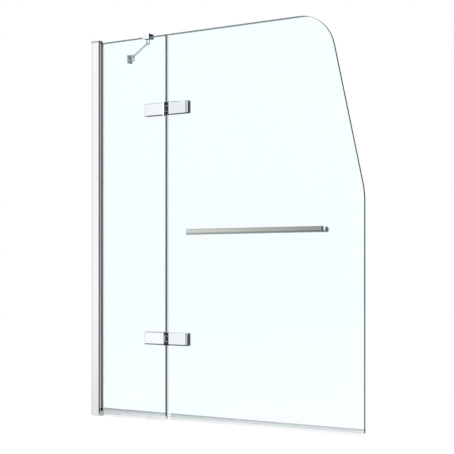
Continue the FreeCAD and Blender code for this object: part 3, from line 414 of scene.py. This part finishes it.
# %% [markdown]
# The arm and the foot of the brace are satin plated. They hang behind the glass and mirror little
# of the room, so they get a greyer, rougher metal than the hinges. The foot's ears get painted
# shade, so its flange on the wall looks brighter than them.

# %% The brace's metal
SATIN_SCALE = 20.0
SATIN_SHADE = 0.06
EAR_SHADE_BANDS = [(5.5, 100, 0.55)]


def drawn_shade(finish):
    """The same polish all round, a little uneven."""
    return 1 - finish.noise(SATIN_SCALE) * SATIN_SHADE


def foot_shade(finish):
    """A bright flange on the wall, with painted shade on the ears."""
    return drawn_shade(finish) * painted_shade_bands(finish, finish.axis("X"), EAR_SHADE_BANDS)


arm_chrome = metal_finish("satin_arm", (0.52, 0.56, 0.55), 0.42, EVEN, drawn_shade)
foot_chrome = metal_finish("satin_foot", (0.62, 0.66, 0.65), 0.38, EVEN, foot_shade)

# %% [markdown]
# The wall profile is anodised aluminium that was drawn through a die, so its faint lines run along
# its length. Painted shade greys it towards the rim of the tub, where the room is darker, and lays
# fine lines of painted shadow at its corner against the wall, at its mouth and under its top cap.
# The inner channel slides in it on a neck that the mouth shades, and that neck is painted dark.
# Such lines are too fine to model, so these are bands of painted shade too.

# %% The two channels
GREY_LEVELS = (-0.05, 0.5)
FOOT_SHARE = 0.74
WALL_SHADOW_LINE = [(2.5, 6.5, 0.22)]
MOUTH_SHADOW_LINE = (37.7 * MM, 60 * MM)
MOUTH_SHADE = 0.9
CAP_SHADOW_LINE = [(1464.5, 1471, 0.45)]
OPEN_LEVELS = (12 * MM, 1466 * MM)
NECK = (38 * MM, 43.6 * MM)
NECK_SHADE = 0.97
SLIDE_FOOT_SHADE = [(-5, 30, 0.45)]


def profile_shade(finish):
    """Painted shade: greyer downwards, with painted shadow lines at the wall, the mouth and the cap.
    """
    x, z = finish.axis("X"), finish.axis("Z")
    mouth = finish.band(x, *MOUTH_SHADOW_LINE) * finish.band(z, *OPEN_LEVELS)
    shade = finish.between(z, *GREY_LEVELS) * (1 - FOOT_SHARE) + FOOT_SHARE
    shade = shade * painted_shade_bands(finish, x, WALL_SHADOW_LINE) * (1 - mouth * MOUTH_SHADE)
    return shade * painted_shade_bands(finish, z, CAP_SHADOW_LINE)


def slide_shade(finish):
    """Painted shade on the neck, between the outer mouth and the bright nose, and on the foot."""
    x, z = finish.axis("X"), finish.axis("Z")
    neck = finish.band(x, *NECK) * finish.band(z, *OPEN_LEVELS)
    return (1 - neck * NECK_SHADE) * painted_shade_bands(finish, z, SLIDE_FOOT_SHADE)


anodised = metal_finish("bright_anodised", (0.98, 0.985, 0.99), 0.18, ALONG_Z, profile_shade)
# The inner channel's greyer colour is a painted shade of the same anodised metal.
slide_metal = metal_finish("necked_slide", (0.78, 0.79, 0.795), 0.25, ALONG_Z, slide_shade)

# %% [markdown]
# ## Rubber and nylon
# Moulded and extruded plastic is never quite even: it has a soft mottle and fine pores. One
# builder gives both to every plastic. Its colours come from a ramp up the piece's length, because
# the gasket, a dark rubber, has a pale end block at its foot, a nearly black stretch over that, a
# nearly black band under its top and a pale end above the pane. Such gaskets are extruded in two
# colours, and the leg behind the glass is white, so that it hardly shows from the room. The bushes
# are milky nylon, and the setting blocks under the fixed pane are a clear plastic that is all but
# invisible in the clear seal.

# %% The plastics
RAMP_HEIGHT = 1.6
HALF_GLASS = 4 * MM
MOTTLE_SCALE = 60.0
MOTTLE_SHADE = 0.15
MOTTLE_ROUGHNESS = 0.1
PORE_SCALE = 900.0
PORE_HEIGHT = 0.03 * MM


def moulded_finish(name, colours, roughness, alpha=1.0, gloss=0.3, back=None):
    """A plastic; each of its colours starts at a level in metres, and a back colour is behind the
    glass."""
    finish = Finish(name)
    level = finish.axis("Z") / RAMP_HEIGHT
    skin = finish.steps(level, [(start / RAMP_HEIGHT, colour) for start, colour in colours])
    if back:
        skin = finish.blend(finish.axis("Y").math("GREATER_THAN", HALF_GLASS), skin, back)
    mottle = finish.noise(MOTTLE_SCALE)
    shader = finish.surface(
        Base_Color=finish.blend(mottle * MOTTLE_SHADE, skin, (0, 0, 0)),
        Roughness=mottle * MOTTLE_ROUGHNESS + roughness,
        Specular_IOR_Level=gloss,
        Normal=finish.bump(finish.noise(PORE_SCALE), PORE_HEIGHT, strength=0.3),
        Alpha=alpha,
    )
    return finish.finish(shader)


GASKET_COLOURS = [
    (0.0, (0.50, 0.52, 0.52)),
    (13.5 * MM, (0.002, 0.002, 0.002)),
    (28 * MM, (0.118, 0.125, 0.123)),
    (1455 * MM, (0.02, 0.02, 0.02)),
    (1464 * MM, (0.75, 0.76, 0.77)),
]
GASKET_BACK = (0.88, 0.90, 0.90)
rubber = moulded_finish("dark_rubber", GASKET_COLOURS, 0.55, gloss=0.03, back=GASKET_BACK)
pad = moulded_finish("grey_pad", [(0.0, (0.10, 0.105, 0.105))], 0.6)
nylon = moulded_finish("milky_nylon", [(0.0, (0.80, 0.80, 0.77))], 0.4)
cap_plastic = moulded_finish("grey_cap", [(0.0, (0.62, 0.63, 0.64))], 0.4)
block_plastic = moulded_finish("milky_block", [(0.0, (0.75, 0.78, 0.78))], 0.4, alpha=0.05)

# %% [markdown]
# ## Clear vinyl
# The seals are extruded from clear vinyl. Where the strip grips the glass its legs are thin and
# almost vanish, while its web and feet bend the light and look greyer, most of all at the upper
# lip and towards the wall. Glass shaders with refraction would do this slowly, so the strip is a
# thin grey skin whose cover changes with the height on the strip.

# %% The lower seals' vinyl
SCREEN_WIDTH = model_box[1][0]
LIP_LEVEL = 26 * MM
BODY_LEVEL = 16 * MM
WEB_LEVELS = (16 * MM, 18.5 * MM)
FIN_LEVELS = (8 * MM, 16 * MM)
LIP_COVER = 0.14
BODY_COVER = 0.12
WEB_CLEARNESS = 0.09
FIN_COVER = 0.09
THIN_COVER = 0.035
COVER_AT_EDGE = 0.75
COVER_ADDED_AT_WALL = 0.9
VINYL_GREYS = ((0.24, 0.25, 0.265), (0.20, 0.21, 0.225))
VINYL_ROUGHNESS = 0.2
HAZE_SCALE = 30.0
HAZE_ROUGHNESS = 0.1


def seal_finish(name):
    """Clear vinyl, greyest at its upper lip and near the wall, and faint in its fins."""
    finish = Finish(name)
    height = finish.axis("Z")
    near_wall = (1 - finish.axis("X") / SCREEN_WIDTH) ** 3
    lip = height.math("GREATER_THAN", LIP_LEVEL) * LIP_COVER
    body = height.math("GREATER_THAN", BODY_LEVEL) * BODY_COVER
    web = finish.band(height, *WEB_LEVELS) * WEB_CLEARNESS
    fins = finish.band(height, *FIN_LEVELS) * near_wall * FIN_COVER
    cover = lip + body - web + fins + THIN_COVER
    shader = finish.surface(
        Base_Color=finish.blend(finish.noise(MOTTLE_SCALE), *VINYL_GREYS),
        Roughness=finish.noise(HAZE_SCALE) * HAZE_ROUGHNESS + VINYL_ROUGHNESS,
        Alpha=cover * (near_wall * COVER_ADDED_AT_WALL + COVER_AT_EDGE),
    )
    return finish.finish(shader)


vinyl = seal_finish("clear_vinyl")

# %% [markdown]
# The strips that close the seam are the same vinyl, but pressed between the two panes. The half on
# the fixed pane's side shows the dark edge behind it, and the fin over the door hardly shows.

# %% The seam seals' vinyl
DOOR_EDGE = PIVOT_X + 0.8 * MM
SEAM_GREYS = ((0.040, 0.052, 0.048), (0.030, 0.042, 0.040))
FIXED_SIDE_COVER = 0.38
FIN_FILM = 0.01


def seam_finish(name):
    """Clear vinyl on the seam, so thin that it hardly shows against the glass."""
    finish = Finish(name)
    fixed_side = finish.axis("X").math("LESS_THAN", DOOR_EDGE)
    shader = finish.surface(
        Base_Color=finish.blend(finish.noise(MOTTLE_SCALE), *SEAM_GREYS),
        Roughness=VINYL_ROUGHNESS,
        Alpha=fixed_side * FIXED_SIDE_COVER + FIN_FILM,
    )
    return finish.finish(shader)


seam_vinyl = seam_finish("seam_vinyl")

# %% [markdown]
# ## Give each node its finish
# The record names a material slot for every node. A table from slot to finish dresses most of
# them at once, and a second, short table holds the nodes whose finish is their own. Setting each
# one by hand would work too, but a new node would then stay bare.

# %% The two tables
FINISH_OF_SLOT = {
    "clear_glass": fixed_glass,
    "profile_aluminium": anodised,
    "rubber_black": rubber,
    "grey_plastic": cap_plastic,
    "clear_vinyl": vinyl,
    "block_plastic": pad,
    "polished_chrome": chrome,
    "pad_rubber": pad,
    "steel": steel,
    "nylon": nylon,
}
OWN_FINISH = {
    "door_glass_panel": door_glass,
    "seam_seal_top": seam_vinyl,
    "seam_seal_middle": seam_vinyl,
    "seam_seal_bottom": seam_vinyl,
    "towel_bar": bar_metal,
    "support_arm": arm_chrome,
    "wall_foot": foot_chrome,
    "wall_foot_pin": foot_chrome,
    "glass_channel": slide_metal,
    "setting_blocks": block_plastic,
}
slot_of_node = {part["node"]: part["material_slot"] for part in frame["record"]["subparts"]}
for node_name in slot_of_node:
    if "_hinge_" in node_name and node_name.endswith(("_leaf", "_cover")):
        OWN_FINISH[node_name] = hinge_chrome
for node_name, node_object in frame["nodes"].items():
    node_finish = OWN_FINISH.get(node_name, FINISH_OF_SLOT[slot_of_node[node_name]])
    for slot in node_object.material_slots:
        slot.material = node_finish
print("finished nodes:", len(slot_of_node))

# %% [markdown]
# ## The hinges' countersunk screws
# On the tub side each hinge leaf is held by two countersunk screws with a hexagonal socket. In the
# model they are plain, because a socket this small would only cost it triangles. Cutting a hexagon
# out of a cone with a Boolean modifier would work, but it leaves thin, uneven faces. Here the screw
# is built ring by ring instead: six flat faces join the round rim to the six corners of the
# socket, so the mesh is clean and closed.

# %% Rings of points
def ring(mesh, middle, radius, depth, corners):
    """Points round an axis along y, this deep under the head's face."""
    x, y, z = middle
    turns = [2 * math.pi * (i + 0.5) / corners for i in range(corners)]
    return [
        mesh.verts.new((x + radius * math.cos(turn), y - depth, z + radius * math.sin(turn)))
        for turn in turns
    ]


def join_rings(mesh, first, second):
    """Four-sided faces between two rings with as many points."""
    count = len(first)
    for i in range(count):
        following = (i + 1) % count
        mesh.faces.new((first[i], first[following], second[following], second[i]))


# %% One screw with its socket
HEAD_RADIUS = 4.7 * MM
HEAD_DEPTH = 2.4 * MM
SHANK_RADIUS = 2.45 * MM
SOCKET_RADIUS = 1.75 * MM
SOCKET_DEPTH = 1.9 * MM
SOCKET_SIDES = 6
RIM_CORNERS = 24


def socket_screw(mesh, head, length):
    """One screw whose head's middle is at that point."""
    rim = ring(mesh, head, HEAD_RADIUS, 0, RIM_CORNERS)
    neck = ring(mesh, head, SHANK_RADIUS, HEAD_DEPTH, RIM_CORNERS)
    tip = ring(mesh, head, SHANK_RADIUS, length, RIM_CORNERS)
    mouth = ring(mesh, head, SOCKET_RADIUS, 0, SOCKET_SIDES)
    floor = ring(mesh, head, SOCKET_RADIUS, SOCKET_DEPTH, SOCKET_SIDES)
    join_rings(mesh, rim, neck)
    join_rings(mesh, neck, tip)
    join_rings(mesh, mouth, floor)
    mesh.faces.new(tip)
    mesh.faces.new(floor)
    step = RIM_CORNERS // SOCKET_SIDES
    for i in range(SOCKET_SIDES):
        arc = [rim[(i * step + j + step // 2) % RIM_CORNERS] for j in range(step + 1)]
        mesh.faces.new((*arc, mouth[(i + 1) % SOCKET_SIDES], mouth[i]))


# %% The screws of each leaf
SCREW_SPREAD = 20 * MM


def leaf_screws(node, body):
    """Four screws in the place of one node of the model."""
    low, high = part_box(node)
    x = (low[0] + high[0]) / 2
    levels = [low[2] + HEAD_RADIUS, low[2] + HEAD_RADIUS + SCREW_SPREAD]
    levels += [high[2] - HEAD_RADIUS, high[2] - HEAD_RADIUS - SCREW_SPREAD]
    mesh = bmesh.new()
    for level in levels:
        socket_screw(mesh, (x, high[1], level), high[1] - low[1])
    bmesh.ops.recalc_face_normals(mesh, faces=mesh.faces)
    data = bpy.data.meshes.new(node.replace("screws", "socket_screws"))
    mesh.to_mesh(data)
    mesh.free()
    screws = bpy.data.objects.new(data.name, data)
    bpy.context.scene.collection.objects.link(screws)
    data.materials.append(steel)
    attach(screws, body)
    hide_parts(node)
    print(screws.name, "faces:", len(data.polygons))


leaf_screws("hinge_fixed_leaf_screws", "fixed_side")
leaf_screws("hinge_moving_leaf_screws", "door")

# %% [markdown]
# ## The camera
# The photograph keeps its uprights parallel, so the camera is level and its picture is moved up by
# a shift of the lens. A tilt could frame the screen too, but would make the uprights lean.

# %% The camera
EYE = Vector((3.28095, -3.72896, 0.5723))
TURN = 0.615
LENS = 99.17
SENSOR = 36.0
SHIFT_UP = 0.0943
camera_data = bpy.data.cameras.new("eye")
camera_data.lens = LENS
camera_data.sensor_width = SENSOR
camera_data.shift_y = SHIFT_UP
camera = bpy.data.objects.new("eye", camera_data)
camera.location = EYE
camera.rotation_euler = (math.radians(90), 0, TURN)
bpy.context.scene.collection.objects.link(camera)
bpy.context.scene.camera = camera
print("camera turned", round(math.degrees(TURN), 1), "degrees")

# %% [markdown]
# ## Background and reflections
# The photograph is cut out on white. A white wall could be built, but the world's own colour gives
# the same even white with no seams, as long as rays from the camera and rays through the glass see
# it. Chrome in an all-white room looks like white paper, so a photographer puts up soft black
# cards that only the metal mirrors. Here three round cards are painted into what the mirror rays
# see: one behind the right end of the screen, one in front, which the towel bar mirrors but the
# plates don't, and one beside the camera, which the rounded upright corners mirror.

# %% The cards
world = bpy.data.worlds.new("studio")
bpy.context.scene.world = world
world.use_nodes = True
studio = Graph(world.node_tree)


def card(towards, edge, middle):
    """A soft round card in one direction: 0 outside its edge and 1 in its middle."""
    direction = studio.node("ShaderNodeTexCoord", output="Generated")
    closeness = studio.node(
        "ShaderNodeVectorMath", {"operation": "DOT_PRODUCT"}, {0: direction, 1: towards}, "Value"
    )
    return studio.between(closeness, edge, middle)


CARDS = {
    "back": ((0.577, 0.816, 0.0), 0.80, 0.93, (0.02, 0.022, 0.02)),
    "front": ((-0.259, -0.966, 0.0), 0.924, 0.966, (0.25, 0.27, 0.25)),
    "side": ((0.816, -0.577, 0.0), 0.90, 0.97, (0.33, 0.34, 0.33)),
}
mirrored = (1, 1, 1)
for towards, edge, middle, colour in CARDS.values():
    mirrored = studio.blend(card(towards, edge, middle), mirrored, colour)
print("cards:", ", ".join(CARDS))

# %% The world
SKY = {"Color": (0.95, 0.97, 1.0), "Strength": 0.75}
white = studio.node("ShaderNodeBackground", values={"Color": (1, 1, 1), "Strength": 1.0})
mirror = studio.node("ShaderNodeBackground", values={"Color": mirrored, "Strength": 1.0})
soft = studio.node("ShaderNodeBackground", values=SKY)
seen = studio.ray("Camera").math("MAXIMUM", studio.ray("Transmission"))
lit = studio.mix_shaders(studio.ray("Glossy"), soft, mirror)
studio.node("ShaderNodeOutputWorld", values={"Surface": studio.mix_shaders(seen, lit, white)})
bpy.context.scene.view_settings.view_transform = "Standard"
print("world ready")

# %% [markdown]
# ## The floor
# The real screen stands on the rim of a tub that the photograph leaves out. A plain pale sheet
# just under it takes the object's shadow. To the camera it is mostly its own glow, so that it
# melts into the white background, and only the rest is lit paper.

# %% The pale sheet
FLOOR_SIZE = 14.0
FLOOR_LEVEL = -1 * MM
FLOOR_GLOW = 1.06
GLOW_SHARE = 0.85


def floor_sheet(size, level):
    """One square sheet of that size at that level."""
    mesh = bpy.data.meshes.new("floor")
    half = size / 2
    sides = [(-half, -half), (half, -half), (half, half), (-half, half)]
    mesh.from_pydata([(x, y, level) for x, y in sides], [], [(0, 1, 2, 3)])
    floor = bpy.data.objects.new("floor", mesh)
    bpy.context.scene.collection.objects.link(floor)
    finish = Finish("pale_floor")
    paper = finish.surface(Base_Color=(0.9, 0.9, 0.9), Roughness=0.8)
    glow = finish.node("ShaderNodeEmission", values={"Color": (1, 1, 1), "Strength": FLOOR_GLOW})
    seen = finish.ray("Camera").math("MAXIMUM", finish.ray("Transmission")) * GLOW_SHARE
    seen = seen.math("MAXIMUM", finish.ray("Glossy"))
    mesh.materials.append(finish.finish(finish.mix_shaders(seen, paper, glow)))


floor_sheet(FLOOR_SIZE, FLOOR_LEVEL)

# %% [markdown]
# ## The lamps
# Two large, square lamps light the screen: a key from above the wall's end and a weaker fill from
# the free end. One sun lamp would be simpler, but its hard shadows aren't in the photograph.

# %% The lamps
SCREEN_MIDDLE = (0.6, 0.0, 0.75)


def soft_lamp(name, place, size, power):
    """A square lamp of that size in metres, aimed at the screen's middle."""
    lamp_data = bpy.data.lights.new(name, "AREA")
    lamp_data.shape = "SQUARE"
    lamp_data.size = size
    lamp_data.energy = power
    lamp = bpy.data.objects.new(name, lamp_data)
    lamp.location = place
    aim = Vector(SCREEN_MIDDLE) - Vector(place)
    lamp.rotation_euler = aim.to_track_quat("-Z", "Y").to_euler()
    bpy.context.scene.collection.objects.link(lamp)
    print("lamp:", name, power, "W")


soft_lamp("key_lamp", (0.4, -2.4, 3.6), size=2.0, power=60)
soft_lamp("fill_lamp", (3.0, -1.4, 1.6), size=1.6, power=25)
